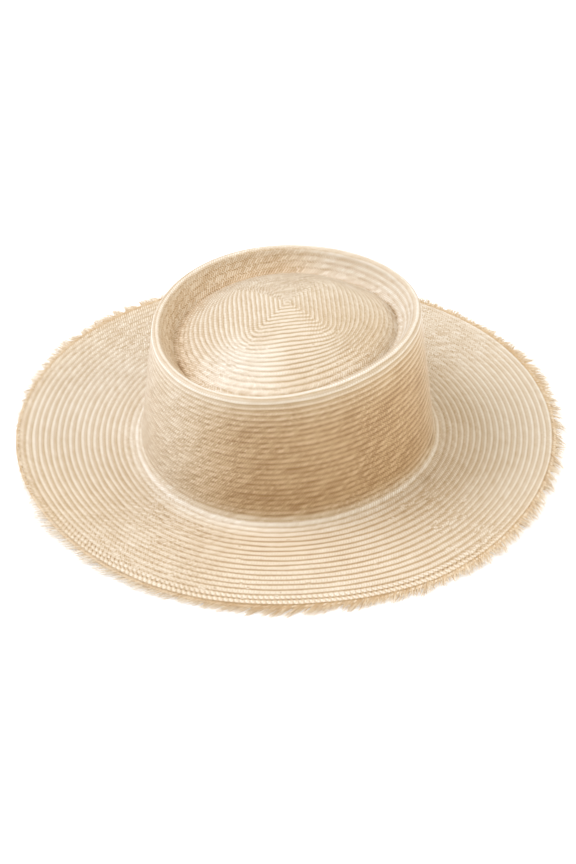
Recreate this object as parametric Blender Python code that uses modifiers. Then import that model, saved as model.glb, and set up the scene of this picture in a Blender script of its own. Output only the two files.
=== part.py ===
"""A woven straw hat with a telescope crown, a wide flat brim and a frayed edge.

Metres, +Z up. The hat rests on z = 0 and its front, the narrower and higher end, is at +X.
Bearings are angles round the hat: 0 is the front, 90 degrees is +Y.
"""
import math
import random
from collections import namedtuple

import bmesh
import bpy
from mathutils import Vector

# The head opening, inside the foot of the crown
HEAD_LENGTH = 0.2050
HEAD_WIDTH = 0.1770
HEAD_PINCH = 0.0057      # half width that the front has less than the middle, and the back more

# The straw wall and the gaps between pieces
STRAW = 0.0018
SEAM_GAP = 0.0003

# The crown, measured on its outer face
CROWN_HEIGHT = 0.1073    # top of the brim to the crest of the rim
FOOT_RADIUS = 0.0080     # curve from the wall into the brim
FOOT_FLAT = 0.0015       # flat straw between that curve and the break line
TAPER_LENGTH = 0.0118    # how far the wall leans in at front and back
TAPER_WIDTH = 0.0089     # the same at the sides
RIM_RADIUS = 0.0032
RIM_PINCH = 0.0078
TOP_RISE = 0.0077        # the front of the rim stands this much over its middle
CROWN_LEAN = 0.0014      # the top sits back by this much

# The groove and the dome inside the rim
GROOVE_DEPTH = 0.0159    # crest of the rim to the bottom of the groove
GROOVE_SLANT = 0.0094    # how far the inner wall leans in on its way down
GROOVE_PINCH = 0.0062
DOME_RISE = 0.0241       # bottom of the groove to the dome's peak
PEAK_SHIFT = 0.0065      # the peak stands off the middle towards +Y

# The brim and the fringe
BRIM_WIDTH = 0.0825      # foot of the wall to the woven edge
BRIM_LIFT = 0.0042       # the highest part of the edge over the surface below
BRIM_FLAT = 0.38         # share of the width that stays flat, nearest the crown
BRIM_CURL = 1.6          # power of the rise past that: 1 is straight, more turns up later
EDGE_WIDTH = 0.0022      # woven edge that carries the fringe
EDGE_THICKNESS = 0.0009
FRINGE_LENGTH = 0.0125
TIP_THICKNESS = 0.0004
LOCK_LENGTHS = (0.72, 1.0)      # shares of the fringe's length, drawn for each lock
LOCK_TIPS = (0.35, 0.55)        # a lock's tip as a share of its root's width
LOCK_STRAY = 0.12               # sideways stray of a lock, as a share of its length
DROOP_LIMIT = 0.6               # share of the edge's lift that a lock may droop

# Faces round the hat and over its curves, and locks of fringe
SIDES = 72
FOOT_STEPS = 4
RIM_STEPS = 5
WALL_RINGS = (0.35, 0.70)       # shares of the wall's height at which it has a ring of points
LOCKS = 144
SEED = 11

# The dome from the groove to the peak: reach as a share of the groove's oval, rise of DOME_RISE
DOME_ROW = namedtuple("DomeRow", "place reach rise")
DOME = (
    DOME_ROW("foot", 0.950, 0.130),
    DOME_ROW("lower slope", 0.860, 0.330),
    DOME_ROW("middle slope", 0.740, 0.545),
    DOME_ROW("upper slope", 0.600, 0.725),
    DOME_ROW("shoulder", 0.450, 0.855),
    DOME_ROW("cap", 0.300, 0.935),
    DOME_ROW("crown of the cap", 0.150, 0.980),
)

# The inner wall from the rim to the groove: shares of its slant and of its height
INNER_ROW = namedtuple("InnerRow", "place slant drop")
INNER_WALL = (
    INNER_ROW("upper wall", 0.250, 0.370),
    INNER_ROW("lower wall", 0.600, 0.770),
    INNER_ROW("turn", 0.860, 0.955),
    INNER_ROW("bottom", 1.000, 1.000),
)

# The brim by bearing: shares of BRIM_WIDTH and BRIM_LIFT, then of FRINGE_LENGTH, with the
# sideways sweep and the droop of the locks as shares of their length
EDGE_ROW = namedtuple("EdgeRow", "bearing width lift fringe sweep droop")
EDGE = (
    EDGE_ROW(0, 1.030, 1.00, 0.85, -0.35, 0.10),
    EDGE_ROW(30, 1.010, 0.80, 0.90, 0.05, 0.05),
    EDGE_ROW(60, 0.975, 0.25, 0.60, 0.15, 0.00),
    EDGE_ROW(90, 1.010, 0.00, 0.55, 0.15, 0.00),
    EDGE_ROW(120, 0.970, 0.15, 0.60, 0.20, 0.00),
    EDGE_ROW(150, 1.035, 0.60, 0.65, 0.10, 0.05),
    EDGE_ROW(180, 1.060, 0.85, 0.60, -0.10, 0.15),
    EDGE_ROW(210, 0.995, 0.65, 0.75, -0.35, 0.10),
    EDGE_ROW(240, 0.945, 0.20, 0.85, -0.45, 0.00),
    EDGE_ROW(270, 0.920, 0.00, 0.80, -0.40, 0.00),
    EDGE_ROW(300, 1.015, 0.25, 0.75, -0.25, 0.00),
    EDGE_ROW(330, 1.025, 0.75, 0.80, -0.30, 0.05),
)

# Shares of the brim's width at which it has a ring of points
BRIM_RINGS = (0.20, BRIM_FLAT, 0.58, 0.78, 1.0)

FOOT_LENGTH = HEAD_LENGTH + 2 * STRAW
FOOT_WIDTH = HEAD_WIDTH + 2 * STRAW
BREAK = FOOT_RADIUS + FOOT_FLAT

# One oval of points: length and width outside, pinch towards the front, height, and offset
Ring = namedtuple("Ring", "length width pinch height slope shift_x shift_y")


def oval_point(ring, bearing):
    """A point of an oval that is narrower in front, on a plane that may rise to the front."""
    x = ring.shift_x + ring.length / 2 * math.cos(bearing)
    y = ring.shift_y + math.sin(bearing) * (ring.width / 2 - ring.pinch * math.cos(bearing))
    return Vector((x, y, ring.height + ring.slope * (x - ring.shift_x)))


def foot_ring(outset, height):
    """The foot of the wall, moved out by outset."""
    return Ring(FOOT_LENGTH + 2 * outset, FOOT_WIDTH + 2 * outset, HEAD_PINCH, height, 0, 0, 0)


def rim_ring(inset, height):
    """A ring of the crown's top, moved in from the top of the wall by inset."""
    length = FOOT_LENGTH - 2 * TAPER_LENGTH - 2 * inset
    width = FOOT_WIDTH - 2 * TAPER_WIDTH - 2 * inset
    return Ring(length, width, RIM_PINCH, height, TOP_RISE / (length / 2), -CROWN_LEAN, 0)


def blend(first, second, share):
    """The ring that lies share of the way from the first ring to the second."""
    return Ring(*(a + (b - a) * share for a, b in zip(first, second)))


def crown_rings():
    """The crown's outer face, from the break line over the rim and the groove to the dome."""
    rings = [foot_ring(BREAK, STRAW)]
    for step in range(FOOT_STEPS + 1):
        turn = math.pi / 2 * (1 - step / FOOT_STEPS)
        outset = FOOT_RADIUS * (1 - math.cos(turn))
        rings.append(foot_ring(outset, STRAW + FOOT_RADIUS * (1 - math.sin(turn))))

    crest = STRAW + CROWN_HEIGHT
    shoulder = rim_ring(0, crest - RIM_RADIUS)
    wall_foot = rings[-1]
    rings += [blend(wall_foot, shoulder, share) for share in WALL_RINGS]
    for step in range(RIM_STEPS + 1):
        turn = math.pi * step / RIM_STEPS
        rings.append(rim_ring(RIM_RADIUS * (1 - math.cos(turn)), crest - RIM_RADIUS * (1 - math.sin(turn))))

    rim_inner = rings[-1]
    groove = Ring(
        rim_inner.length - 2 * GROOVE_SLANT,
        rim_inner.width - 2 * GROOVE_SLANT,
        GROOVE_PINCH,
        crest - GROOVE_DEPTH,
        rim_inner.slope,
        rim_inner.shift_x,
        0,
    )
    for row in INNER_WALL:
        slanted = blend(rim_inner, groove, row.slant)
        height = rim_inner.height + (groove.height - rim_inner.height) * row.drop
        rings.append(slanted._replace(height=height))

    for row in DOME:
        rings.append(groove._replace(
            length=groove.length * row.reach,
            width=groove.width * row.reach,
            pinch=groove.pinch * row.reach,
            height=groove.height + DOME_RISE * row.rise,
            shift_x=groove.shift_x * row.reach,
            shift_y=PEAK_SHIFT * (1 - row.reach),
        ))
    return rings


def edge_value(bearing, column):
    """A column of the EDGE table at a bearing in radians, on a smooth closed curve."""
    place = math.degrees(bearing) / 360 * len(EDGE)
    index = math.floor(place)
    share = place - index
    before, low, high, after = (getattr(EDGE[(index + k) % len(EDGE)], column) for k in (-1, 0, 1, 2))
    bend_low = (high - before) / 2
    bend_high = (after - low) / 2
    return (
        low
        + bend_low * share
        + (3 * (high - low) - 2 * bend_low - bend_high) * share ** 2
        + (2 * (low - high) + bend_low + bend_high) * share ** 3
    )


def brim_lift(bearing, share):
    """How far the brim has risen at a share of its width."""
    risen = max(0.0, (share - BRIM_FLAT) / (1 - BRIM_FLAT)) ** BRIM_CURL
    return BRIM_LIFT * max(0.0, edge_value(bearing, "lift")) * risen


def brim_point(bearing, share, outset=0.0):
    """A point on the brim's top, at a share of its width, moved out by outset."""
    reach = BRIM_WIDTH * edge_value(bearing, "width") * share + outset
    return oval_point(foot_ring(reach, STRAW + brim_lift(bearing, share)), bearing)


def lofted(bm, rings, close_end=None):
    """Joins rings of points with faces, from the outer ring inwards."""
    loops = [[bm.verts.new(point) for point in ring] for ring in rings]
    for outer, inner in zip(loops, loops[1:]):
        for i, corner in enumerate(outer):
            j = (i + 1) % len(outer)
            bm.faces.new((corner, outer[j], inner[j], inner[i]))
    if close_end is not None:
        peak = bm.verts.new(close_end)
        last = loops[-1]
        for i, corner in enumerate(last):
            bm.faces.new((corner, last[(i + 1) % len(last)], peak))
    return loops


def bearings(count):
    return [2 * math.pi * i / count for i in range(count)]


def straw_material(name, colour, roughness):
    material = bpy.data.materials.new(name)
    material.use_nodes = True
    shader = material.node_tree.nodes["Principled BSDF"]
    shader.inputs["Base Color"].default_value = (*colour, 1)
    shader.inputs["Roughness"].default_value = roughness
    shader.inputs["Metallic"].default_value = 0
    return material


def add_piece(name, bm, material, collection):
    """Turns a bmesh into a named object with its material."""
    mesh = bpy.data.meshes.new(name)
    bm.to_mesh(mesh)
    bm.free()
    mesh.shade_smooth()
    mesh.set_sharp_from_angle(angle=math.radians(40))
    piece = bpy.data.objects.new(name, mesh)
    piece.data.materials.append(material)
    collection.objects.link(piece)
    return piece


def give_wall(piece):
    """Makes an open surface a straw wall, with the surface as its outer face."""
    wall = piece.modifiers.new("straw wall", "SOLIDIFY")
    wall.thickness = STRAW
    wall.offset = -1
    wall.use_even_offset = True
    wall.use_quality_normals = True


def make_crown(collection):
    bm = bmesh.new()
    rings = crown_rings()
    groove_height = rings[-1].height - DOME_RISE * DOME[-1].rise
    peak = Vector((0, PEAK_SHIFT, groove_height + DOME_RISE))
    lofted(bm, [[oval_point(ring, t) for t in bearings(SIDES)] for ring in rings], peak)
    crown = add_piece("crown", bm, straw_material("crown straw", (0.72, 0.58, 0.40), 0.55), collection)
    give_wall(crown)
    return crown


def make_brim(collection):
    bm = bmesh.new()
    rings = [[brim_point(t, share) for t in bearings(SIDES)] for share in reversed(BRIM_RINGS)]
    rings.append([oval_point(foot_ring(BREAK + SEAM_GAP, STRAW), t) for t in bearings(SIDES)])
    lofted(bm, rings)
    brim = add_piece("brim", bm, straw_material("brim straw", (0.76, 0.62, 0.44), 0.55), collection)
    give_wall(brim)
    return brim


def make_fringe(collection):
    """A thin woven edge whose outer faces are drawn out into tapered locks."""
    draw = random.Random(SEED)
    middle = Vector((0, 0, -STRAW / 2))
    half = Vector((0, 0, EDGE_THICKNESS / 2))
    inner = [brim_point(t, 1, SEAM_GAP) + middle for t in bearings(LOCKS)]
    outer = [brim_point(t, 1, SEAM_GAP + EDGE_WIDTH) + middle for t in bearings(LOCKS)]
    bm = bmesh.new()
    corners = ((inner, half), (outer, half), (outer, -half), (inner, -half))
    loops = [[bm.verts.new(point + offset) for point in ring] for ring, offset in corners]
    outer_faces = []
    for side in range(4):
        first, second = loops[side], loops[(side + 1) % 4]
        for i in range(LOCKS):
            j = (i + 1) % LOCKS
            face = bm.faces.new((first[i], second[i], second[j], first[j]))
            if side == 1:
                outer_faces.append(face)

    drawn = bmesh.ops.extrude_discrete_faces(bm, faces=outer_faces)["faces"]
    for i, face in enumerate(drawn):
        bearing = 2 * math.pi * (i + 0.5) / LOCKS
        root = face.calc_center_median()
        along = (outer[(i + 1) % LOCKS] - outer[i]).normalized()
        out = along.cross(Vector((0, 0, 1)))
        length = FRINGE_LENGTH * edge_value(bearing, "fringe") * draw.uniform(*LOCK_LENGTHS)
        sweep = edge_value(bearing, "sweep") + draw.uniform(-LOCK_STRAY, LOCK_STRAY)
        droop = min(length * edge_value(bearing, "droop"), brim_lift(bearing, 1) * DROOP_LIMIT)
        tip = root + out * length + along * (length * sweep) - Vector((0, 0, droop))
        narrow = draw.uniform(*LOCK_TIPS)
        for vert in face.verts:
            offset = vert.co - root
            flat = Vector((offset.x, offset.y, 0)) * narrow
            upright = math.copysign(TIP_THICKNESS / 2, offset.z)
            vert.co = tip + flat + Vector((0, 0, upright))
    return add_piece("fringe", bm, straw_material("frayed straw", (0.70, 0.55, 0.36), 0.7), collection)


def stand_at_origin(pieces):
    """Puts the middle of the hat's outline over the origin, by an empty that carries the pieces."""
    corners = [vert.co for piece in pieces for vert in piece.data.vertices]
    middle = [(min(c[axis] for c in corners) + max(c[axis] for c in corners)) / 2 for axis in (0, 1)]
    carrier = bpy.data.objects.new("straw_hat", None)
    pieces[0].users_collection[0].objects.link(carrier)
    carrier.location = (-middle[0], -middle[1], 0)
    for piece in pieces:
        piece.parent = carrier


def main():
    for old in list(bpy.data.objects):
        bpy.data.objects.remove(old, do_unlink=True)
    collection = bpy.data.collections.new("straw hat")
    bpy.context.scene.collection.children.link(collection)
    stand_at_origin([make_crown(collection), make_brim(collection), make_fringe(collection)])
    bpy.context.view_layer.update()


main()
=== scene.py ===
"""Looks of the woven straw hat: rows of weave in relief, a frayed edge, a pale floor and soft light."""
import math
import random

import bpy
import numpy as np
from mathutils import Matrix, Vector


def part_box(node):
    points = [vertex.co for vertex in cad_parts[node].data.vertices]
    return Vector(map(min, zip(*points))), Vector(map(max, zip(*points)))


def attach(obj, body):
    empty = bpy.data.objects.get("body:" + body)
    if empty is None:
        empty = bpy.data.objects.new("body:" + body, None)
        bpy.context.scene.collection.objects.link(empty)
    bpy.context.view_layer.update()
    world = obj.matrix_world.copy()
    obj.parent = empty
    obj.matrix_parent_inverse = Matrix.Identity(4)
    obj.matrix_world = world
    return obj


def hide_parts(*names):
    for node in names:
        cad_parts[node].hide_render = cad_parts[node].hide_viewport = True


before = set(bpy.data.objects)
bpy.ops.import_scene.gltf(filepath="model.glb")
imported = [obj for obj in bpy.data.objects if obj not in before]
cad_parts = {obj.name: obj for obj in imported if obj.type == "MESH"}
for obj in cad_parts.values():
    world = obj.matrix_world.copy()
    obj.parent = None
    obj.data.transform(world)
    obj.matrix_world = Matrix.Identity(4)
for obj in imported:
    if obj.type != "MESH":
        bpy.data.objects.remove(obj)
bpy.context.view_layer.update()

# Form of the hat, as in its construction
HEAD_LENGTH = 0.2050
HEAD_WIDTH = 0.1770
HEAD_PINCH = 0.0057
STRAW = 0.0018
SEAM_GAP = 0.0003
CROWN_HEIGHT = 0.1073
FOOT_RADIUS = 0.0080
FOOT_FLAT = 0.0015
TAPER_LENGTH = 0.0118
TAPER_WIDTH = 0.0089
RIM_RADIUS = 0.0032
RIM_PINCH = 0.0078
TOP_RISE = 0.0077
CROWN_LEAN = 0.0014
GROOVE_DEPTH = 0.0159
GROOVE_SLANT = 0.0094
GROOVE_PINCH = 0.0062
DOME_RISE = 0.0241
PEAK_SHIFT = 0.0065
BRIM_WIDTH = 0.0825
BRIM_LIFT = 0.0042
BRIM_FLAT = 0.38
BRIM_CURVE = 1.6         # power of the brim's rise past its flat part
EDGE_WIDTH = 0.0022
FRINGE_LENGTH = 0.0125

FOOT_LENGTH = HEAD_LENGTH + 2 * STRAW
FOOT_WIDTH = HEAD_WIDTH + 2 * STRAW
BREAK = FOOT_RADIUS + FOOT_FLAT

# The dome: reach as a share of the groove's oval, rise as a share of DOME_RISE
DOME = {
    "reach": (0.0, 0.15, 0.30, 0.45, 0.60, 0.74, 0.86, 0.95, 1.0),
    "rise": (1.0, 0.980, 0.935, 0.855, 0.725, 0.545, 0.330, 0.130, 0.0),
}
# The wall from the groove up to the rim: shares of its slant and of its drop
INNER_WALL = {
    "slant": (1.0, 0.86, 0.60, 0.25, 0.0),
    "drop": (1.0, 0.955, 0.77, 0.37, 0.0),
}
# The edge every 30 degrees from the front: shares of the brim's width and lift, and the droop of
# the loose ends as a share of their length
EDGE = {
    "width": (1.030, 1.010, 0.975, 1.010, 0.970, 1.035, 1.060, 0.995, 0.945, 0.920, 1.015, 1.025),
    "lift": (1.00, 0.80, 0.25, 0.00, 0.15, 0.60, 0.85, 0.65, 0.20, 0.00, 0.25, 0.75),
    "droop": (0.10, 0.05, 0.00, 0.00, 0.00, 0.05, 0.15, 0.10, 0.00, 0.00, 0.00, 0.05),
}

# The weave. Rows are counted in the sectors of +X and -X, of +Y, and of -Y, and the counts change
# on the diagonals. A row has a band, then a raised pale strand.
DOME_ROWS = (24, 22, 22)
DOME_EVEN = 0.35         # share of the dome over which all sectors have the same rows
SIDE_ROWS = 30
BRIM_ROWS = (18, 17, 15)
TOP_STEPS = 5            # rings of points for each row
UNDER_STEPS = 2
STRAND_PITCH = 0.0018
FEWEST_STRANDS = 4       # across the row round the peak
RELIEF = 0.00020
RELIEF_WHERE_PLAIN = 0.20    # share of the relief that is left where the look has no contrast
UNDER_RELIEF = 0.6       # the underside's relief as a share of the top's
RELIEF_PHASES = (0.0, 0.18, 0.42, 0.58, 0.74, 0.90, 1.0)
RELIEF_HEIGHTS = (-0.6, 0.0, 0.05, 0.65, 1.0, 0.5, -0.6)
SEAM_COVER = SEAM_GAP / 2    # how far crown, brim and edge close the gap between them
CROWN_SIDES = 240
BRIM_SIDES = 480
PROFILE_STEPS = {"inner wall": 13, "rim": 11, "wall": 13, "foot": 9}

# The woven layers: which side they face, rings for each row, and their band of the bake map
LAYERS = (
    (1, TOP_STEPS, (0.0, 0.60)),
    (-1, UNDER_STEPS, (0.62, 1.0)),
)
BAKE_SIDE_MARGIN = 0.004
BAKE_END_MARGIN = 0.01

# The look by place: 0 to 1 is the dome, to 2 the inner wall, rim, wall and foot, to 3 the brim.
# Tone runs from dark to pale, and by place it is partly painted light and shade: darker on the
# outer wall, paler on the inner wall. Contrast is how far the pale strands stand out, diagonal and
# far how much of that is lost on the diagonals and at +Y; the pale strands are partly a painted
# sheen, so their fading there and on the wall is partly painted light and shade. The two golds are
# how golden the straw is in front and at the back, partly its own tint and partly the warm painted
# shade of the front wall and of the inner wall at the back left.
LOOK = {
    "place": (
        0, 0.08, 0.5, 0.85, 1.0, 1.05, 1.11, 1.15, 1.19,
        1.24, 1.40, 1.85, 1.91, 1.95, 2.0, 2.1, 2.9, 3.0,
    ),
    "tone": (
        0.40, 0.40, 0.39, 0.40, 0.46, 0.53, 0.53, 0.46, 0.45,
        0.43, 0.42, 0.42, 0.46, 0.50, 0.48, 0.46, 0.46, 0.50,
    ),
    "contrast": (
        0.60, 0.80, 0.80, 0.75, 0.40, 0.70, 0.80, 0.90, 0.90,
        0.65, 0.44, 0.38, 0.50, 0.60, 0.70, 0.90, 1.00, 1.00,
    ),
    "diagonal": (
        0.00, 0.00, 0.50, 0.70, 0.30, 0.10, 0.00, 0.00, 0.00,
        0.30, 0.40, 0.40, 0.30, 0.30, 0.50, 0.80, 0.70, 0.30,
    ),
    "far": (
        1.00, 1.00, 0.97, 0.90, 0.50, 0.30, 0.20, 0.10, 0.10,
        0.20, 0.20, 0.20, 0.20, 0.20, 0.30, 0.35, 0.35, 0.20,
    ),
    "front gold": (
        0.10, 0.10, 0.10, 0.15, 0.10, 0.00, 0.00, 0.00, 0.20,
        0.60, 0.95, 1.00, 0.60, 0.00, 0.10, 0.20, 0.15, 0.35,
    ),
    "back gold": (
        0.00, 0.00, 0.00, 0.10, 0.45, 0.45, 0.40, 0.15, 0.00,
        0.10, 0.10, 0.10, 0.10, 0.00, 0.10, 0.10, 0.15, 0.40,
    ),
}

# Parts of the round: bearing in degrees, and the cosines between which each fades in
RIGHT = (0, 0.2, 0.9)
FAR = (90, 0.62, 0.76)
GOLDEN_BACK = (145, 0.10, 0.60)
PART_STITCHED = (248, 0.6, 0.95)
STITCHED = (262, 0.4, 0.8)
NEAR = (270, 0.60, 0.90)
GOLDEN_FRONT = (290, 0.1, 0.95)

# Places over which parts of the hat begin or end
SIDE_BEGINS = (0.95, 1.05)
WALL_BEGINS = (1.10, 1.25)
FOOT_ENDS = (1.9, 2.0)
PART_STITCHED_BEGINS = (2.2, 2.7)
STITCHED_BEGINS = (2.86, 2.90)

# How much the look changes there
GOLD_DULLS = 1.5         # contrast lost with the gold at the back
RIGHT_WALL_CLEARER = 0.25
RIGHT_DULLER = 0.2
PART_STITCH = 0.30
BROAD_LEAST = 0.35       # how broad the pale strands are
BROAD_NEAR = 0.65
BROAD_RIGHT = -0.25

# The diagonals, and where less is lost on them: bearing in degrees, and how much less
DIAGONAL_TURN = math.radians(4)
DIAGONAL_FADE = (0.55, 0.98)
CLEAR_FADE = (0.5, 0.9)
CLEAR_DIAGONALS = (
    (315, 0.80),
    (130, 0.55),
    (225, 0.35),
)

# Soft patches of shade, or of light where the shade is below 0. Columns: shade, bearing in
# degrees, the cosines between which it fades in, and the places where it begins and ends.
FROM_PEAK = (-2.0, -1.0)
TO_EDGE = (4.0, 5.0)
SHADES = (
    (0.11, 252, (0.1, 0.7), (2.0, 2.1), TO_EDGE),          # brim in front
    (0.10, 322, (0.3, 0.8), (1.88, 1.93), (2.0, 2.05)),    # foot, in front at the right
    (-0.03, 0, (0.2, 0.9), (2.2, 2.6), TO_EDGE),           # brim at the right
    (0.06, 5, (0.5, 0.95), (1.95, 2.05), (2.15, 2.55)),    # brim beside the wall, at the right
    (0.03, 0, (0.2, 0.9), (1.10, 1.25), (1.9, 2.0)),       # wall at the right
    (0.03, 50, (0.4, 0.9), (2.0, 2.1), TO_EDGE),           # brim at the back right
    (-0.03, 180, (0.4, 0.9), (2.0, 2.1), TO_EDGE),         # brim at the left
    (0.03, 270, (-0.6, 0.2), FROM_PEAK, (0.8, 1.0)),       # dome in front
    (-0.17, 236, (0.80, 1.0), (0.35, 0.6), (0.9, 1.0)),    # the dome's brightest side
)

# Small creases darkened with painted shade. Columns: place, bearing in degrees, and half the width in
# radians.
CREASES = (
    (1.0, 12, 0.22),
    (1.0, 197, 0.16),
    (1.915, 344, 0.14),
)
CREASE_SHADE = 0.30
CREASE_BREADTH = 0.012

# Where the crown's foot stands in the frame: the middle of the crown's box, less its own lean
low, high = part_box("crown")
MIDDLE = Vector(((low.x + high.x) / 2, (low.y + high.y) / 2, 0))


def smooth_through(xs, ys, x):
    """A smooth curve through the points of a short table, read at x."""
    xs, ys = np.asarray(xs, float), np.asarray(ys, float)
    slopes = np.gradient(ys, xs)
    i = np.clip(np.searchsorted(xs, x) - 1, 0, len(xs) - 2)
    step = xs[i + 1] - xs[i]
    share = (x - xs[i]) / step
    square, cube = share ** 2, share ** 3
    return (
        ys[i] * (2 * cube - 3 * square + 1)
        + slopes[i] * step * (cube - 2 * square + share)
        + ys[i + 1] * (3 * square - 2 * cube)
        + slopes[i + 1] * step * (cube - square)
    )


def smoothstep(low_end, high_end, x):
    share = np.clip((x - low_end) / (high_end - low_end), 0, 1)
    return share * share * (3 - 2 * share)


def round_edge(column, t):
    """A column of the EDGE table on a smooth closed curve, at bearings t."""
    values = EDGE[column]
    wrapped = (*values[-2:], *values, *values[:3])
    places = np.arange(-2, len(values) + 3)
    return smooth_through(places, wrapped, (t / (2 * math.pi) * len(values)) % len(values))


def oval(t, length, width, pinch, height, slope=0, shift_x=0, shift_y=0):
    """Points of an oval that is narrower in front, on a plane that may rise to the front."""
    x = length / 2 * np.cos(t)
    y = np.sin(t) * (width / 2 - pinch * np.cos(t))
    return np.stack(np.broadcast_arrays(x + shift_x, y + shift_y, height + slope * x), -1)


def foot_oval(t, outset, height):
    return oval(t, FOOT_LENGTH + 2 * outset, FOOT_WIDTH + 2 * outset, HEAD_PINCH, height)


RIM_LENGTH = FOOT_LENGTH - 2 * TAPER_LENGTH
RIM_WIDTH = FOOT_WIDTH - 2 * TAPER_WIDTH
CREST = STRAW + CROWN_HEIGHT


def rim_oval(t, inset, height):
    length, width = RIM_LENGTH - 2 * inset, RIM_WIDTH - 2 * inset
    slope = TOP_RISE / (length / 2)
    return oval(t, length, width, RIM_PINCH, height, slope, -CROWN_LEAN)


INNER_LENGTH = RIM_LENGTH - 4 * RIM_RADIUS
TOP_SLOPE = TOP_RISE / (INNER_LENGTH / 2)
GROOVE_LENGTH = INNER_LENGTH - 2 * GROOVE_SLANT
GROOVE_WIDTH = RIM_WIDTH - 4 * RIM_RADIUS - 2 * GROOVE_SLANT
GROOVE_HEIGHT = CREST - GROOVE_DEPTH


def side_profile(t):
    """Rings from the bottom of the groove over the rim to the break line: rings, bearings, xyz."""
    rings = []
    places = np.linspace(0, 1, len(INNER_WALL["slant"]))
    rim_inner_height = CREST - RIM_RADIUS
    for share in np.linspace(0, 1, PROFILE_STEPS["inner wall"])[:-1]:
        slant = smooth_through(places, INNER_WALL["slant"], share)
        drop = smooth_through(places, INNER_WALL["drop"], share)
        inset = GROOVE_SLANT * slant
        pinch = RIM_PINCH + (GROOVE_PINCH - RIM_PINCH) * slant
        height = rim_inner_height + (GROOVE_HEIGHT - rim_inner_height) * drop
        rings.append(oval(
            t, INNER_LENGTH - 2 * inset, RIM_WIDTH - 4 * RIM_RADIUS - 2 * inset,
            pinch, height, TOP_SLOPE, -CROWN_LEAN,
        ))
    for turn in np.linspace(math.pi, 0, PROFILE_STEPS["rim"]):
        inset = RIM_RADIUS * (1 - math.cos(turn))
        rings.append(rim_oval(t, inset, CREST - RIM_RADIUS * (1 - math.sin(turn))))
    top, foot = rings[-1], foot_oval(t, 0, STRAW + FOOT_RADIUS)
    for share in np.linspace(0, 1, PROFILE_STEPS["wall"])[1:-1]:
        rings.append(top + (foot - top) * share)
    for turn in np.linspace(0, math.pi / 2, PROFILE_STEPS["foot"]):
        outset = FOOT_RADIUS * (1 - math.cos(turn))
        rings.append(foot_oval(t, outset, STRAW + FOOT_RADIUS * (1 - math.sin(turn))))
    rings.append(foot_oval(t, BREAK + SEAM_COVER, STRAW))
    return np.array(rings)


def side_surface(t, shares):
    """The crown from the groove to the break line, at shares of its length over the surface."""
    rings = side_profile(t)
    lengths = np.linalg.norm(np.diff(rings, axis=0), axis=2)
    reach = np.concatenate([np.zeros((1, len(t))), np.cumsum(lengths, 0)])
    reach /= reach[-1]
    grid = np.empty((len(shares), len(t), 3))
    for k in range(len(t)):
        for axis in range(3):
            grid[:, k, axis] = np.interp(shares, reach[:, k], rings[:, k, axis])
    return grid


ROW_LEVEL = 0.55     # how far the dome's rows stay level, where 0 follows the plain oval dome
PEAK_CORNER = 1.40   # reach of the rows' corners at the peak, where 1 is a circle's
REACH_ROUNDS = 12    # rounds in which a point's reach on the oval dome is found


def dome_surface(t, shares):
    """The dome from its peak to the groove. Its rows start as squares and end as the groove's oval."""
    s = np.asarray(shares)[:, None]
    corner_reach = PEAK_CORNER - (PEAK_CORNER - 1) * smoothstep(0.16, 0.85, s)
    power = 1 / (0.5 - np.log2(corner_reach))
    cos, sin = np.cos(t)[None], np.sin(t)[None]
    square = (np.abs(cos) ** power + np.abs(sin) ** power) ** (-1 / power)
    middle_radius = (GROOVE_LENGTH + GROOVE_WIDTH) / 4
    oval_x = GROOVE_LENGTH / 2 * cos
    oval_y = sin * (GROOVE_WIDTH / 2 - GROOVE_PINCH * cos)
    mix = smoothstep(0.25, 0.9, s)
    x = s * square * (middle_radius * cos * (1 - mix) + oval_x * mix)
    y = s * square * (middle_radius * sin * (1 - mix) + oval_y * mix) + PEAK_SHIFT * (1 - s)
    reach = np.broadcast_to(s, x.shape).copy()
    for _ in range(REACH_ROUNDS):
        along = np.clip(x / (GROOVE_LENGTH / 2 * np.maximum(reach, 1e-6)), -1, 1)
        half = GROOVE_WIDTH / 2 - GROOVE_PINCH * along
        reach = np.hypot(x / (GROOVE_LENGTH / 2), (y - PEAK_SHIFT * (1 - reach)) / half)
        reach = np.minimum(reach, 1)
    level = reach + (s - reach) * ROW_LEVEL
    rise = smooth_through(DOME["reach"], DOME["rise"], level)
    z = GROOVE_HEIGHT + DOME_RISE * rise + TOP_SLOPE * x
    return np.stack([x - CROWN_LEAN * reach, y, z], -1)


def brim_surface(t, shares):
    """The brim's top from the break line to the woven edge."""
    s = np.asarray(shares)[:, None]
    inner = BREAK + SEAM_GAP - SEAM_COVER
    outer = BRIM_WIDTH * round_edge("width", t)[None] + SEAM_COVER
    outset = inner + (outer - inner) * s
    width_share = outset / outer
    risen = np.clip((width_share - BRIM_FLAT) / (1 - BRIM_FLAT), 0, 1) ** BRIM_CURVE
    height = STRAW + BRIM_LIFT * np.maximum(round_edge("lift", t), 0)[None] * risen
    return foot_oval(t[None], outset, height)


def surface_normals(grid):
    """Normals of a grid of rings that closes on itself sideways."""
    around = np.roll(grid, -1, 1) - np.roll(grid, 1, 1)
    out = np.gradient(grid, axis=0)
    normals = np.cross(out, around)
    lengths = np.linalg.norm(normals, axis=2, keepdims=True)
    return np.divide(normals, lengths, out=np.zeros_like(normals), where=lengths > 1e-14)


SHARP_ANGLE = math.radians(75)


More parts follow.
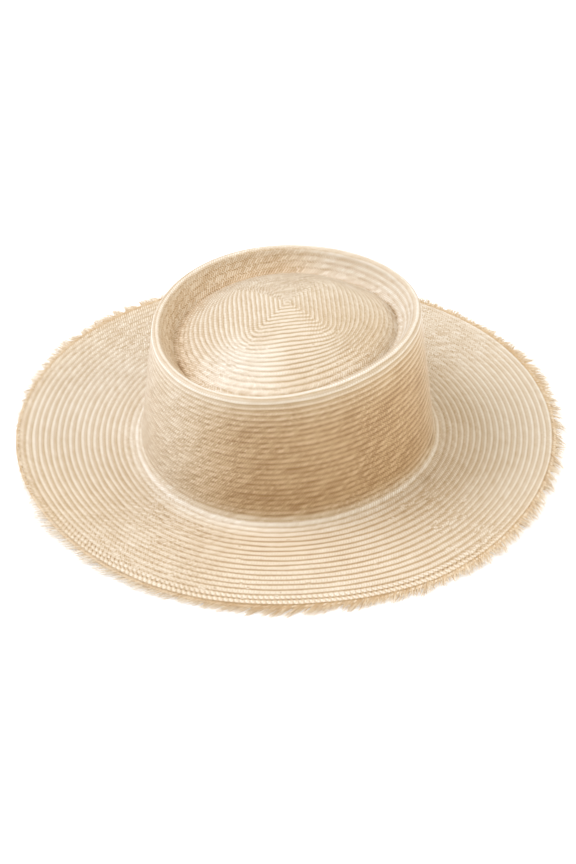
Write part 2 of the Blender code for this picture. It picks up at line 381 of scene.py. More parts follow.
def add_mesh(name, vertices, faces, weave_uv=None, bake_uv=None, floats=None):
    """A smooth-shaded mesh object; the maps are per face corner, the floats per vertex."""
    mesh = bpy.data.meshes.new(name)
    vertices = np.asarray(vertices, float) + np.array(MIDDLE)
    mesh.from_pydata(vertices.tolist(), [], faces)
    for map_name, values in (("weave", weave_uv), ("OFBake", bake_uv)):
        if values is not None:
            layer = mesh.uv_layers.new(name=map_name)
            layer.data.foreach_set("uv", np.asarray(values, np.float32).ravel())
    for key, values in (floats or {}).items():
        layer = mesh.attributes.new(key, "FLOAT", "POINT")
        layer.data.foreach_set("value", np.asarray(values, np.float32))
    mesh.shade_smooth()
    mesh.set_sharp_from_angle(angle=SHARP_ANGLE)
    mesh.update()
    piece = bpy.data.objects.new(name, mesh)
    bpy.context.scene.collection.objects.link(piece)
    return piece


LOOK_MAPS = ("tone", "contrast", "gold", "broad", "stitch", "sector", "slip")


class Sheet:
    """Collects the grids of one woven piece: its vertices, faces and maps."""

    def __init__(self, strips):
        self.vertices = []
        self.faces = []
        self.weave = []
        self.bake = []
        self.looks = {key: [] for key in LOOK_MAPS}
        self.strips = strips
        self.count = 0

    def add_points(self, points, look):
        start = self.count
        self.vertices.append(np.asarray(points).reshape(-1, 3))
        for key, values in look.items():
            self.looks[key].append(np.ravel(values))
        self.count += len(self.vertices[-1])
        return start

    def add_face(self, corners, weave, bake, outward=True):
        if not outward:
            corners, weave, bake = corners[::-1], weave[::-1], bake[::-1]
        self.faces.append(corners)
        self.weave.extend(weave)
        self.bake.extend(bake)

    def add_grid(self, grid, rows, look, steps, outward, band):
        """A grid of rings, peak or inner ring first. Each strip of bearings has its bake band."""
        rings, sides = grid.shape[:2]
        start = self.add_points(grid, look)
        ring_lengths = np.linalg.norm(np.roll(grid, -1, 1) - grid, axis=2).sum(1)
        columns = sides // self.strips
        bake_width = 1 - 2 * BAKE_SIDE_MARGIN
        bake_height = 1 - 2 * BAKE_END_MARGIN
        for r in range(rings - 1):
            first = r // steps * steps
            row_length = ring_lengths[first:first + steps].mean()
            strands = max(FEWEST_STRANDS, round(row_length / STRAND_PITCH))
            low_row = band[0] + (band[1] - band[0]) * r / (rings - 1)
            high_row = band[0] + (band[1] - band[0]) * (r + 1) / (rings - 1)
            for c in range(sides):
                d = (c + 1) % sides
                inner, outer = start + r * sides, start + (r + 1) * sides
                corners = [inner + c, outer + c, outer + d, inner + d]
                u0, u1 = c / sides * strands, (c + 1) / sides * strands
                weave = [
                    (u0, rows[r, c]), (u0, rows[r + 1, c]),
                    (u1, rows[r + 1, d]), (u1, rows[r, d]),
                ]
                strip = c // columns
                x0 = BAKE_SIDE_MARGIN + bake_width * (c - strip * columns) / columns
                x1 = x0 + bake_width / columns
                y0 = (strip + BAKE_END_MARGIN + bake_height * low_row) / self.strips
                y1 = (strip + BAKE_END_MARGIN + bake_height * high_row) / self.strips
                self.add_face(corners, weave, [(x0, y0), (x0, y1), (x1, y1), (x1, y0)], outward)
        return start, start + (rings - 1) * sides

    def add_cap(self, peak, first, sides, row, band, outward):
        """Faces between a peak and the ring round it."""
        for c in range(sides):
            u0, u1 = c / sides * FEWEST_STRANDS, (c + 1) / sides * FEWEST_STRANDS
            strip = c // (sides // self.strips)
            bake = [(0.5, (strip + 0.002 + band[0]) / self.strips)] * 3
            corners = [peak, first + c, first + (c + 1) % sides]
            self.add_face(corners, [(u0, 0), (u0, row), (u1, row)], bake, outward)

    def add_bridge(self, first, second, sides, row):
        """Faces between two rings of the same number of points."""
        for c in range(sides):
            d = (c + 1) % sides
            bake = [(0.001, (c // (sides // self.strips) + 0.5) / self.strips)] * 4
            u0, u1 = c / sides, (c + 1) / sides
            weave = [(u0, row), (u0, row + 0.2), (u1, row + 0.2), (u1, row)]
            self.add_face([first + c, second + c, second + d, first + d], weave, bake)

    def finish(self, name):
        looks = {key: np.concatenate(values) for key, values in self.looks.items()}
        return add_mesh(name, np.concatenate(self.vertices), self.faces, self.weave, self.bake, looks)


def bearings(count):
    return np.arange(count) * (2 * math.pi / count)


def sector_share(t):
    """0 in the sectors of +X and -X, 1 in those of +Y and -Y."""
    return smoothstep(0.32, 0.68, np.sin(t) ** 2)


def row_grid(t, shares, before, counts, even=0.0, end_level=False):
    """Rows of the +X and -X sectors, and how far those of the other sectors are from them."""
    s = np.asarray(shares)[:, None]
    rows = before + s * counts[0] + np.zeros((1, len(t)))
    fewer = counts[0] - np.where(np.sin(t) > 0, counts[1], counts[2])[None]
    slip = -fewer * np.clip((s - even) / (1 - even), 0, 1)
    if end_level:
        slip = slip + fewer
    waves = 0.030 * np.sin(11 * t + 1.7 * rows) + 0.025 * np.sin(23 * t - 2.3 * rows)
    return rows + waves, slip


def facing(t, degrees, faint, full):
    """From 0 to 1 where bearings t face the given one, by the cosine of the angle between."""
    return smoothstep(faint, full, np.cos(t - math.radians(degrees)))


def between(places, begin, end):
    """1 between two places on the hat, each given as the range over which it fades."""
    return smoothstep(*begin, places) * (1 - smoothstep(*end, places))


def look_of(t, places, slip):
    """How the weave looks at bearings t and at places on the hat, as grids for the material."""
    t = t[None]
    places = np.asarray(places)[:, None]
    column = {key: np.interp(places, LOOK["place"], LOOK[key]) for key in LOOK}
    wall = between(places, WALL_BEGINS, FOOT_ENDS)
    side = between(places, SIDE_BEGINS, FOOT_ENDS)
    right = facing(t, *RIGHT)

    # How far the pale strands stand out, partly a painted sheen that fades where the strands don't
    # catch the light
    diagonal = smoothstep(*DIAGONAL_FADE, np.abs(np.sin(2 * (t - DIAGONAL_TURN))))
    for bearing, less in CLEAR_DIAGONALS:
        diagonal = diagonal * (1 - less * facing(t, bearing, *CLEAR_FADE))
    # The golds are partly the straw's own tint and partly warm painted shade on the front wall and the
    # inner wall at the back left
    back_gold = column["back gold"] * facing(t, *GOLDEN_BACK)
    contrast = column["contrast"] * (1 - column["diagonal"] * diagonal)
    contrast = contrast * (1 - column["far"] * facing(t, *FAR)) * (1 - GOLD_DULLS * back_gold)
    contrast = contrast * (1 + right * (RIGHT_WALL_CLEARER * wall - RIGHT_DULLER * (1 - wall)))
    whole = np.ones_like(contrast)

    # Tone by place is partly painted light and shade: darker on the outer wall, paler on the inner wall
    tone = column["tone"] * whole
    # Painted shade in the creases
    for where, bearing, width in CREASES:
        across = np.exp(-((places - where) / CREASE_BREADTH) ** 2)
        tone = tone - CREASE_SHADE * across * facing(t, bearing, math.cos(width), 1)
    for shade, bearing, fade, begin, end in SHADES:
        tone = tone - shade * facing(t, bearing, *fade) * between(places, begin, end)

    broad = BROAD_NEAR * facing(t, *NEAR) + BROAD_RIGHT * right
    stitched = smoothstep(*STITCHED_BEGINS, places) * facing(t, *STITCHED)
    part_stitched = smoothstep(*PART_STITCHED_BEGINS, places) * facing(t, *PART_STITCHED)
    return {
        "tone": tone,
        "contrast": contrast,
        "gold": column["front gold"] * facing(t, *GOLDEN_FRONT) + back_gold,
        "broad": BROAD_LEAST + (1 - side) * broad,
        "stitch": np.maximum(stitched, PART_STITCH * part_stitched),
        "sector": sector_share(t) * whole,
        "slip": slip,
    }


def woven_grid(surface, t, shares, rows, look, side):
    """A woven surface with its rows in relief. Side is 1 for the top and -1 for the underside."""
    grid = surface(t, shares)
    normals = surface_normals(grid)
    own = np.interp(rows % 1, RELIEF_PHASES, RELIEF_HEIGHTS)
    other = np.interp((rows + look["slip"]) % 1, RELIEF_PHASES, RELIEF_HEIGHTS)
    relief = own + (other - own) * look["sector"]
    lift = RELIEF * relief * (RELIEF_WHERE_PLAIN + (1 - RELIEF_WHERE_PLAIN) * look["contrast"])
    if side > 0:
        return grid + normals * lift[..., None]
    return grid - normals * (STRAW - RELIEF + UNDER_RELIEF * lift)[..., None]


def make_crown():
    t = bearings(CROWN_SIDES)
    sheet = Sheet(strips=2)
    rings = {}
    for side, steps, band in LAYERS:
        dome_shares = np.linspace(0, 1, DOME_ROWS[0] * steps + 1)[1:]
        dome_rows, dome_slip = row_grid(t, dome_shares, 0, DOME_ROWS, DOME_EVEN, end_level=True)
        dome_look = look_of(t, dome_shares, dome_slip)
        dome = woven_grid(dome_surface, t, dome_shares, dome_rows, dome_look, side)
        wall_shares = np.linspace(0, 1, SIDE_ROWS * steps + 1)
        wall_rows, wall_slip = row_grid(t, wall_shares, DOME_ROWS[0], (SIDE_ROWS,) * 3)
        wall_look = look_of(t, 1 + wall_shares, wall_slip)
        wall = woven_grid(side_surface, t, wall_shares, wall_rows, wall_look, side)
        grid = np.concatenate([dome[:-1], wall])
        rows = np.concatenate([dome_rows[:-1], wall_rows])
        look = {key: np.concatenate([dome_look[key][:-1], wall_look[key]]) for key in dome_look}
        first, rings[side] = sheet.add_grid(grid, rows, look, steps, side > 0, band)
        middle = grid[0].mean(0)
        middle[2] = grid[0, :, 2].max()
        peak = sheet.add_points(middle[None], {key: values[0, 0] for key, values in look.items()})
        sheet.add_cap(peak, first, CROWN_SIDES, rows[0, 0], band, side > 0)
    sheet.add_bridge(rings[1], rings[-1], CROWN_SIDES, 0)
    return sheet.finish("woven_crown")


def make_brim():
    t = bearings(BRIM_SIDES)
    sheet = Sheet(strips=4)
    rings = {}
    before = DOME_ROWS[0] + SIDE_ROWS
    for side, steps, band in LAYERS:
        shares = np.linspace(0, 1, BRIM_ROWS[0] * steps + 1)
        rows, slip = row_grid(t, shares, before, BRIM_ROWS)
        look = look_of(t, 2 + shares, slip)
        grid = woven_grid(brim_surface, t, shares, rows, look, side)
        rings[side] = sheet.add_grid(grid, rows, look, steps, side > 0, band)
    sheet.add_bridge(rings[-1][0], rings[1][0], BRIM_SIDES, 0)
    sheet.add_bridge(rings[1][1], rings[-1][1], BRIM_SIDES, 0)
    return sheet.finish("woven_brim")


# The frayed edge
STITCHES = 480
STITCH_STEPS = 6
CORD_SIDES = 8
CORD_REACH = EDGE_WIDTH * 0.58    # half the cord's width
CORD_RISE = STRAW * 0.44          # half its thickness
CORD_SWELL = 0.14                 # how much a stitch swells in its middle
CORD_PALER = (320, 0.2, 0.9)      # where the cord is paler, as in the parts of the round
CORD_PALE_TINT = 0.9
STITCH_TINT = 0.6
SEED = 5

# The tufts and their strands. Lengths, sweeps and bends are shares of a strand's own length.
TUFTS = 250
TUFT_SCATTER = 0.4                # of the space for a tuft
TUFT_HALF_WIDTH = 0.9             # of the same
TUFT_LENGTHS = (0.70, 1.0)
TUFT_SWEEP = 0.15
STRANDS_PER_TUFT = 22
THINNED = 0.55                    # share of the strands that is missing where they are palest
STRAND_STEPS = (0.0, 0.35, 0.7, 1.0)
STRAND_LENGTHS = (0.5, 1.05)
STRAND_WIDTH = 0.00095
STRAND_WIDTHS = (0.6, 1.2)
STRAND_TAPER = 0.38
PALE_NARROWER = 0.3
STRAND_SWEEP = 0.10
STRAY_SHARE = 0.05                # strands that point another way than their tuft
STRAY_SWEEP = 0.5
GATHERED = 0.35                   # how far a tuft's outer strands lean to its middle
STRAND_BEND = 0.10
STRAND_DROOP = 0.14
COVERED_LENGTH = EDGE_WIDTH * 0.8
ROOT_RISE = STRAW * 0.08          # of the lowest strands
ROOT_LAYERS = STRAW * 0.40        # from the lowest strands to the highest
FLOOR_CLEARANCE = 0.0003

# What makes a strand paler. The lower strands are darker by painted shade beneath the higher ones.
TINT_BASE = 0.08
TINT_BY_DEPTH = 0.40
TINT_BY_TUFT = 0.12
TINT_BY_STRAND = 0.34
TINT_BY_PALE = 0.40
ROOT_TINT = 0.45                  # share of its tint that a strand has at its root
TIP_TINT = 0.25
TIP_GOLD_LOST = 0.5

# The loose ends every 15 degrees from the front: length as a share of FRINGE_LENGTH, sideways
# sweep as a share of their own length, and how pale and thin they are
FRAY = {
    "length": (
        0.80, 1.00, 0.65, 0.60, 0.50, 0.45, 0.45, 0.55, 0.75, 0.85, 0.85, 0.60,
        0.20, 0.45, 1.00, 0.75, 0.70, 0.75, 0.80, 0.75, 0.65, 0.85, 0.85, 0.75,
    ),
    "sweep": (
        -0.40, -0.15, 0.10, 0.15, 0.15, 0.15, 0.15, 0.15, 0.20, 0.20, 0.10, 0.10,
        0.00, -0.40, -1.10, -1.10, -1.20, -1.30, -1.20, -0.90, -0.55, -0.20, -0.30, -0.50,
    ),
    "pale": (
        0.30, 0.10, 0.15, 0.20, 0.25, 0.30, 0.35, 0.35, 0.25, 0.25, 0.35, 0.50,
        0.60, 0.65, 0.70, 0.65, 0.45, 0.20, 0.05, 0.10, 0.20, 0.20, 0.25, 0.30,
    ),
}


BEARING_STEP = 1e-4


def fray_value(column, bearing):
    """A column of the FRAY table at a bearing."""
    values = FRAY[column]
    place = bearing / (2 * math.pi) * len(values) % len(values)
    index = int(place)
    return values[index] + (values[(index + 1) % len(values)] - values[index]) * (place - index)


def edge_frame(t, outset):
    """Points outside the brim at half its thickness, with the outward and along ways."""
    height = STRAW / 2 + BRIM_LIFT * np.maximum(round_edge("lift", t), 0)
    point = foot_oval(t, BRIM_WIDTH * round_edge("width", t) + outset, height)
    after = t + BEARING_STEP
    along = foot_oval(after, BRIM_WIDTH * round_edge("width", after) + outset, height) - point
    along[..., 2] = 0
    along /= np.linalg.norm(along, axis=-1, keepdims=True)
    out = np.stack([along[..., 1], -along[..., 0], np.zeros_like(along[..., 0])], -1)
    return point, out, along


def blunt(value):
    """A sine or cosine that makes a rounded rectangle in place of a circle."""
    return math.copysign(abs(value) ** 0.5, value)


def make_woven_edge():
    """A flat cord of slanting stitches that closes the brim's last row."""
    count = STITCHES * STITCH_STEPS
    t = bearings(count)
    point, out, _ = edge_frame(t, SEAM_GAP + EDGE_WIDTH / 2)
    rings, tint = [], []
    around = np.arange(CORD_SIDES) * (2 * math.pi / CORD_SIDES)
    phase = np.arange(count) / STITCH_STEPS
    for turn in around:
        slant = (phase + turn / math.pi) % 1
        round_off = np.sin(math.pi * slant) ** 0.7
        swell = 1 - CORD_SWELL + CORD_SWELL * round_off
        ring = point + out * (blunt(math.cos(turn)) * CORD_REACH * swell)[:, None]
        ring[:, 2] += blunt(math.sin(turn)) * CORD_RISE * swell
        rings.append(ring)
        tint.append(STITCH_TINT * round_off + CORD_PALE_TINT * facing(t, *CORD_PALER))
    faces = []
    for r in range(CORD_SIDES):
        q = (r + 1) % CORD_SIDES
        for c in range(count):
            d = (c + 1) % count
            faces.append((r * count + c, r * count + d, q * count + d, q * count + c))
    grid = np.array(rings).reshape(-1, 3)
    return add_mesh("woven_edge", grid, faces, floats={"tint": np.ravel(tint)})


def make_fringe():
    """Loose straw ends in tufts, each end a thin tapered blade that bends on its way out."""
    draw = random.Random(SEED)
    vertices, faces, tint, gold = [], [], [], []
    spread = 2 * math.pi / TUFTS
    for tuft in range(TUFTS):
        bearing = spread * (tuft + draw.uniform(-TUFT_SCATTER, TUFT_SCATTER))
        tuft_length = draw.uniform(*TUFT_LENGTHS)
        tuft_sweep = draw.gauss(0, TUFT_SWEEP)
        tuft_tint = draw.random()
        pale = fray_value("pale", bearing)
        strands = round(STRANDS_PER_TUFT * (1 - THINNED * pale))
        for strand in range(strands):
            depth = strand / (strands - 1)
            aside = draw.uniform(-1.0, 1.0)
            t = np.array([bearing + aside * spread * TUFT_HALF_WIDTH])
            point, out, along = (value[0] for value in edge_frame(t, -SEAM_GAP))
            longest = FRINGE_LENGTH * fray_value("length", float(t[0])) + COVERED_LENGTH
            own = longest * tuft_length * draw.uniform(*STRAND_LENGTHS)
            stray = draw.random() < STRAY_SHARE
            sweep = fray_value("sweep", float(t[0])) + tuft_sweep - GATHERED * aside
            sweep += draw.gauss(0, STRAY_SWEEP if stray else STRAND_SWEEP)
            bend = draw.gauss(0, STRAND_BEND)
            rise = ROOT_RISE + ROOT_LAYERS * depth
            droop = own * (float(round_edge("droop", t)[0]) + draw.uniform(0.0, STRAND_DROOP))
            width = STRAND_WIDTH * draw.uniform(*STRAND_WIDTHS) * (1 - PALE_NARROWER * pale)
            start = len(vertices)
            # Painted shade: the lower the strand lies, the darker it is
            colour = TINT_BASE + TINT_BY_DEPTH * depth + TINT_BY_TUFT * tuft_tint
            colour += TINT_BY_STRAND * draw.random() + TINT_BY_PALE * pale
            for share in STRAND_STEPS:
                curve = share * share
                centre = point + out * (own * share) + along * own * (sweep * share + bend * curve)
                centre[2] = max(centre[2] + rise - droop * curve, FLOOR_CLEARANCE)
                half = width * (0.5 - STRAND_TAPER * curve)
                for across, up in ((-half, 0.0), (half, 0.0), (0.0, half * 0.7)):
                    vertices.append(centre + along * across + np.array([0, 0, up]))
                    tint.append(colour * (ROOT_TINT + (1 - ROOT_TINT) * share) + TIP_TINT * curve)
                    gold.append((1 - pale) * (1 - TIP_GOLD_LOST * curve))
            for k in range(len(STRAND_STEPS) - 1):
                a, b = start + 3 * k, start + 3 * (k + 1)
                for side in range(3):
                    other = (side + 1) % 3
                    faces.append((a + side, b + side, b + other, a + other))
            last = start + 3 * (len(STRAND_STEPS) - 1)
            faces.append((start, start + 1, start + 2))
            faces.append((last, last + 2, last + 1))
    return add_mesh("frayed_fringe", vertices, faces, floats={"tint": tint, "gold": gold})


class Nodes:
    """Short ways to add and join shader nodes."""

    def __init__(self, name):
        self.material = bpy.data.materials.new(name)
        self.material.use_nodes = True
        self.tree = self.material.node_tree
        self.shader = self.tree.nodes["Principled BSDF"]

    def add(self, kind, **settings):
        node = self.tree.nodes.new(kind)
        for key, value in settings.items():
            setattr(node, key, value)
        return node

    def join(self, source, socket):
        self.tree.links.new(source, socket)

    def put(self, value, socket):
        if isinstance(value, bpy.types.NodeSocket):
            self.join(value, socket)
        else:
            socket.default_value = value

    def math(self, operation, a, b=0.0, c=0.0):
        node = self.add("ShaderNodeMath", operation=operation)
        for value, socket in zip((a, b, c), node.inputs):
            self.put(value, socket)
        return node.outputs[0]

    def remap(self, value, old_low, old_high, new_low=0.0, new_high=1.0, smooth=True):
        node = self.add("ShaderNodeMapRange")
        node.interpolation_type = "SMOOTHSTEP" if smooth else "LINEAR"
        for number, socket in zip((value, old_low, old_high, new_low, new_high), node.inputs):
            self.put(number, socket)
        return node.outputs[0]

    def noise(self, vector, scale, detail=2.0):
        node = self.add("ShaderNodeTexNoise")
        self.join(vector, node.inputs["Vector"])
        node.inputs["Scale"].default_value = scale
        node.inputs["Detail"].default_value = detail
        return node.outputs["Fac"]

    def ramp(self, value, stops):
        node = self.add("ShaderNodeValToRGB")
        node.color_ramp.interpolation = "EASE"
        while len(node.color_ramp.elements) < len(stops):
            node.color_ramp.elements.new(0.5)
        for element, (place, colour) in zip(node.color_ramp.elements, stops):
            element.position = place
            element.color = (*colour, 1)
        self.put(value, node.inputs[0])
        return node.outputs["Color"]

    def choose(self, switch, first, second):
        """The first value where the switch is 1, and the second where it is 0."""
        node = self.add("ShaderNodeMix")
        self.put(switch, node.inputs[0])
        self.put(second, node.inputs[2])
        self.put(first, node.inputs[3])
        return node.outputs[0]

    def zigzag(self, value):
        """Rises from 0 to 1 and falls again over each whole number."""
        swing = self.math("MULTIPLY_ADD", self.math("FRACT", value), 2.0, -1.0)
        return self.math("SUBTRACT", 1.0, self.math("ABSOLUTE", swing))

    def varied(self, tone, value, amount):
        """The tone with a value from 0 to 1 added about its middle, by an amount."""
        return self.math("MULTIPLY_ADD", self.math("SUBTRACT", value, 0.5), amount, tone)

    def multiply(self, colour, tint, share):
        """The colour multiplied by a tint, by a share from 0 to 1."""
        node = self.add("ShaderNodeMix", data_type="RGBA", blend_type="MULTIPLY")
        self.put(share, node.inputs[0])
        self.join(colour, node.inputs[6])
        node.inputs[7].default_value = (*tint, 1)
        return node.outputs[2]

    def white_noise(self, vector):
        node = self.add("ShaderNodeTexWhiteNoise", noise_dimensions="2D")
        self.join(vector, node.inputs["Vector"])
        return node.outputs["Value"]

    def attribute(self, name):
        return self.add("ShaderNodeAttribute", attribute_name=name).outputs["Fac"]

    def combine(self, x, y):
        node = self.add("ShaderNodeCombineXYZ")
        self.put(x, node.inputs[0])
        self.put(y, node.inputs[1])
        return node.outputs[0]


STRAW_TONES = (
    (0.0, (0.27, 0.16, 0.075)),
    (0.22, (0.49, 0.345, 0.190)),
    (0.45, (0.65, 0.525, 0.370)),
    (0.70, (0.78, 0.695, 0.560)),
    (1.0, (0.93, 0.890, 0.820)),
)
GOLD = (1.0, 0.88, 0.70)

# Noise scales, for each metre
CLOUD_SCALE = 24.0
PATCH_SCALE = 130.0
KNOT_SCALE = 45.0
EDGE_SCALE = 160.0

# How much each feature adds to the tone of the straw
LINE_TONE = 0.34
GROOVE_TONE = -0.20
PLAIN_TONE = -0.01
GOLD_TONE = -0.24
BEAD_TONE = 0.40
SPECKLE_TONE = 0.26
CLOUD_TONE = 0.16
PATCH_TONE = 0.10
STREAK_TONE = 0.08
KNOT_TONE = -0.5
# The same for single strands, at the low and the high end of the contrast
CONTRAST_ENDS = (0.2, 0.9)
STROKE_TONE = (0.36, 0.10)
OWN_TONE = (0.30, 0.07)
STROKE_BUMP = (1.0, 0.3)
SHINE_ENDS = (0.2, 0.9)    # tones of the dullest and the shiniest straw
ROUGHNESS = (0.60, 0.42)

# Across a row, as shares of its pitch
LINE_START = 0.60        # where the raised strand starts, and how much earlier if it is broad
LINE_BROADER = -0.38
LINE_END = (0.84, 0.99)
LINE_RISE = 0.16
GROOVE_END = 0.24
CROSSING = 0.45          # where the slanting strands change their way
BAND_LEAN = 1.5
LINE_LEAN = -1.6
STROKE_FADE = (0.1, 0.8)
BEAD_RATE = 0.5          # beads for each strand, and their lean over a row
BEAD_LEAN = -0.7
STREAK_RATE = 0.2
SECTOR_FADE = (0.3, 0.7)
PATCH_WIGGLE = 0.10
STRAND_WIGGLE = 0.12
KNOTS_FROM = 0.93        # a knot where a cell's random number is above this
KNOT_RADIUS = (0.03, 0.07)
BUMP_HEIGHT = 0.00016


def straw_material():
    """Straw rows: a raised pale strand along each row, slanting strands between, and fine fibres."""
    n = Nodes("woven straw")
    weave = n.add("ShaderNodeUVMap", uv_map="weave").outputs["UV"]
    parts = n.add("ShaderNodeSeparateXYZ")
    n.join(weave, parts.inputs[0])
    strand, row = parts.outputs[0], parts.outputs[1]
    contrast, gold = n.attribute("contrast"), n.attribute("gold")
    broad, stitch = n.attribute("broad"), n.attribute("stitch")
    plain = n.math("SUBTRACT", 1.0, contrast)

    place = n.add("ShaderNodeTexCoord").outputs["Object"]
    cloud = n.noise(place, CLOUD_SCALE)
    patch = n.noise(place, PATCH_SCALE)

    # The rows of the sector that the strand is in, with small wiggles
    in_sector = n.math("GREATER_THAN", n.attribute("sector"), n.remap(patch, *SECTOR_FADE))
    row = n.math("MULTIPLY_ADD", n.attribute("slip"), in_sector, row)
    row = n.varied(row, patch, PATCH_WIGGLE)
    row = n.math("MULTIPLY_ADD", n.zigzag(strand), STRAND_WIGGLE, row)

    # The raised strand, and the shadow between it and the next row
    phase = n.math("FRACT", row)
    start = n.math("MULTIPLY_ADD", broad, LINE_BROADER, LINE_START)
    rising = n.remap(n.math("SUBTRACT", phase, start), 0.0, LINE_RISE)
    line = n.math("SUBTRACT", rising, n.remap(phase, *LINE_END))
    # The pale strand is partly painted sheen, so it fades with the contrast
    line = n.math("MULTIPLY", line, contrast)
    groove = n.math("SUBTRACT", 1.0, n.remap(phase, 0.0, GROOVE_END))
    groove = n.math("MULTIPLY", groove, contrast)

    # Slanting strands, one way in the band and the other way over the raised strand
    over = n.math("GREATER_THAN", phase, CROSSING)
    lean = n.math("MULTIPLY", phase, n.choose(over, LINE_LEAN, BAND_LEAN))
    leaned = n.math("SUBTRACT", strand, lean)
    stroke = n.remap(n.zigzag(leaned), *STROKE_FADE)
    own_tone = n.white_noise(n.combine(n.math("FLOOR", leaned), n.math("FLOOR", row)))
    bead_lean = n.math("MULTIPLY", phase, BEAD_LEAN)
    bead = n.zigzag(n.math("MULTIPLY_ADD", strand, BEAD_RATE, bead_lean))
    streak = n.noise(n.combine(n.math("MULTIPLY", strand, STREAK_RATE), row), 1.0, 3.0)

    tone = n.math("MULTIPLY_ADD", line, LINE_TONE, n.attribute("tone"))
    tone = n.math("MULTIPLY_ADD", plain, PLAIN_TONE, tone)
    tone = n.math("MULTIPLY_ADD", groove, GROOVE_TONE, tone)
    tone = n.math("MULTIPLY_ADD", gold, GOLD_TONE, tone)
    tone = n.varied(tone, stroke, n.remap(contrast, *CONTRAST_ENDS, *STROKE_TONE))
    tone = n.varied(tone, own_tone, n.remap(contrast, *CONTRAST_ENDS, *OWN_TONE))
    tone = n.varied(tone, bead, n.math("MULTIPLY", stitch, BEAD_TONE))
    tone = n.varied(tone, n.zigzag(strand), n.math("MULTIPLY", line, SPECKLE_TONE))
    tone = n.varied(tone, cloud, CLOUD_TONE)
    tone = n.varied(tone, patch, PATCH_TONE)
    tone = n.varied(tone, streak, STREAK_TONE)

    # A few dark knots
    knots = n.add("ShaderNodeTexVoronoi")
    n.join(place, knots.inputs["Vector"])
    knots.inputs["Scale"].default_value = KNOT_SCALE
    pick = n.add("ShaderNodeSeparateColor")
    n.join(knots.outputs["Color"], pick.inputs[0])
    chosen = n.math("GREATER_THAN", pick.outputs[0], KNOTS_FROM)
    knot = n.math("SUBTRACT", 1.0, n.remap(knots.outputs["Distance"], *KNOT_RADIUS))
    tone = n.math("MULTIPLY_ADD", n.math("MULTIPLY", chosen, knot), KNOT_TONE, tone)
    # The gold is partly the straw's own tint and partly warm painted shade
    n.join(n.multiply(n.ramp(tone, STRAW_TONES), GOLD, gold), n.shader.inputs["Base Color"])

    bump = n.add("ShaderNodeBump")
    bump.inputs["Strength"].default_value = 0.7
    bump.inputs["Distance"].default_value = BUMP_HEIGHT
    height = n.math("MULTIPLY", stroke, n.remap(contrast, *CONTRAST_ENDS, *STROKE_BUMP))
    n.join(n.math("MULTIPLY_ADD", bead, stitch, height), bump.inputs["Height"])
    n.join(bump.outputs[0], n.shader.inputs["Normal"])
    roughness = n.remap(tone, *SHINE_ENDS, *ROUGHNESS, smooth=False)
    n.join(roughness, n.shader.inputs["Roughness"])
    n.shader.inputs["Specular IOR Level"].default_value = 0.5
    n.shader.inputs["Sheen Weight"].default_value = 0.12
    n.shader.inputs["Sheen Roughness"].default_value = 0.4
    return n.material


def fringe_material():
    n = Nodes("frayed straw")
    tones = n.ramp(n.attribute("tint"), STRAW_TONES)
    n.join(n.multiply(tones, GOLD, n.attribute("gold")), n.shader.inputs["Base Color"])
    n.shader.inputs["Roughness"].default_value = 0.6
    n.shader.inputs["Specular IOR Level"].default_value = 0.4
    return n.material


def edge_material():
    n = Nodes("edge straw")
    place = n.add("ShaderNodeTexCoord").outputs["Object"]
    tone = n.math("MULTIPLY_ADD", n.attribute("tint"), 0.34, 0.24)
    tone = n.varied(tone, n.noise(place, EDGE_SCALE), 0.7)
    n.join(n.multiply(n.ramp(tone, STRAW_TONES), GOLD, 0.6), n.shader.inputs["Base Color"])
    n.shader.inputs["Roughness"].default_value = 0.55
    return n.material


def dress(piece, material, slot, *nodes):
    piece.data.materials.append(material)
    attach(piece, "root")
    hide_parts(*nodes)


FLOOR_REACH = 6.0
FLOOR_HEIGHT = -0.0002


def make_floor():
    mesh = bpy.data.meshes.new("floor")
    sides = ((-1, -1), (1, -1), (1, 1), (-1, 1))
    corners = [(x * FLOOR_REACH, y * FLOOR_REACH, FLOOR_HEIGHT) for x, y in sides]
    mesh.from_pydata(corners, [], [(0, 1, 2, 3)])
    floor = bpy.data.objects.new("floor", mesh)
    bpy.context.scene.collection.objects.link(floor)
    n = Nodes("pale floor")
    n.shader.inputs["Base Color"].default_value = (0.9, 0.9, 0.9, 1)
    n.shader.inputs["Roughness"].default_value = 0.8
    n.shader.inputs["Emission Color"].default_value = (1, 1, 1, 1)
    n.shader.inputs["Emission Strength"].default_value = 0.25
    mesh.materials.append(n.material)


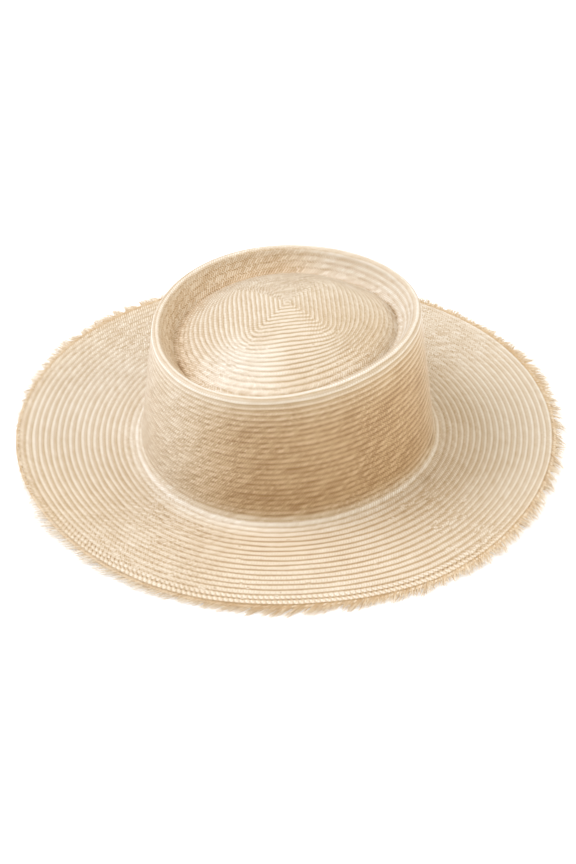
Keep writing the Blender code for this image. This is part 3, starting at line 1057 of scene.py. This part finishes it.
def area_light(name, place, target, size, power, colour=(1, 1, 1)):
    data = bpy.data.lights.new(name, "AREA")
    data.shape = "DISK"
    data.size = size
    data.energy = power
    data.color = colour
    light = bpy.data.objects.new(name, data)
    light.location = place
    light.rotation_euler = (Vector(target) - Vector(place)).to_track_quat("-Z", "Y").to_euler()
    bpy.context.scene.collection.objects.link(light)


def set_light():
    world = bpy.data.worlds.new("studio")
    world.use_nodes = True
    background = world.node_tree.nodes["Background"]
    background.inputs["Color"].default_value = (1.0, 0.97, 0.93, 1)
    background.inputs["Strength"].default_value = 0.68
    bpy.context.scene.world = world
    area_light(
        "key", place=(-1.15, 0.15, 1.5), target=(0, 0, 0.03), size=1.2,
        power=24.0, colour=(0.93, 0.98, 1.12),
    )
    area_light("fill", place=(1.3, -0.3, 1.1), target=(0, 0, 0.05), size=1.2, power=11.0)
    view = bpy.context.scene.view_settings
    view.view_transform = "Standard"
    view.look = "None"


# The camera, from the photo: its distance and rise, and where the crown's foot shows
CAMERA_DISTANCE = 1.5
CAMERA_ELEVATION = math.radians(42.35)
CAMERA_AZIMUTH = math.radians(-4.2)
CAMERA_TARGET_HEIGHT = 0.04 + STRAW
CAMERA_DROP = math.radians(1.126)
LENS_PIXELS = 2126.5
LONG_SIDE = 864
SENSOR = 36.0


def set_camera():
    data = bpy.data.cameras.new("camera")
    data.sensor_width = SENSOR
    data.lens = LENS_PIXELS / LONG_SIDE * SENSOR
    camera = bpy.data.objects.new("camera", data)
    bpy.context.scene.collection.objects.link(camera)
    back = Vector((
        math.sin(CAMERA_AZIMUTH) * math.cos(CAMERA_ELEVATION),
        -math.cos(CAMERA_AZIMUTH) * math.cos(CAMERA_ELEVATION),
        math.sin(CAMERA_ELEVATION),
    ))
    camera.location = MIDDLE + Vector((0, 0, CAMERA_TARGET_HEIGHT)) + back * CAMERA_DISTANCE
    aim = (-back).to_track_quat("-Z", "Y").to_matrix() @ Matrix.Rotation(-CAMERA_DROP, 3, "X")
    camera.rotation_euler = aim.to_euler()
    bpy.context.scene.camera = camera


straw = straw_material()
dress(make_crown(), straw, "woven_straw", "crown")
dress(make_brim(), straw, "woven_straw", "brim")
dress(make_woven_edge(), edge_material(), "woven_straw", "fringe")
dress(make_fringe(), fringe_material(), "frayed_straw", "fringe")
make_floor()
set_light()
set_camera()
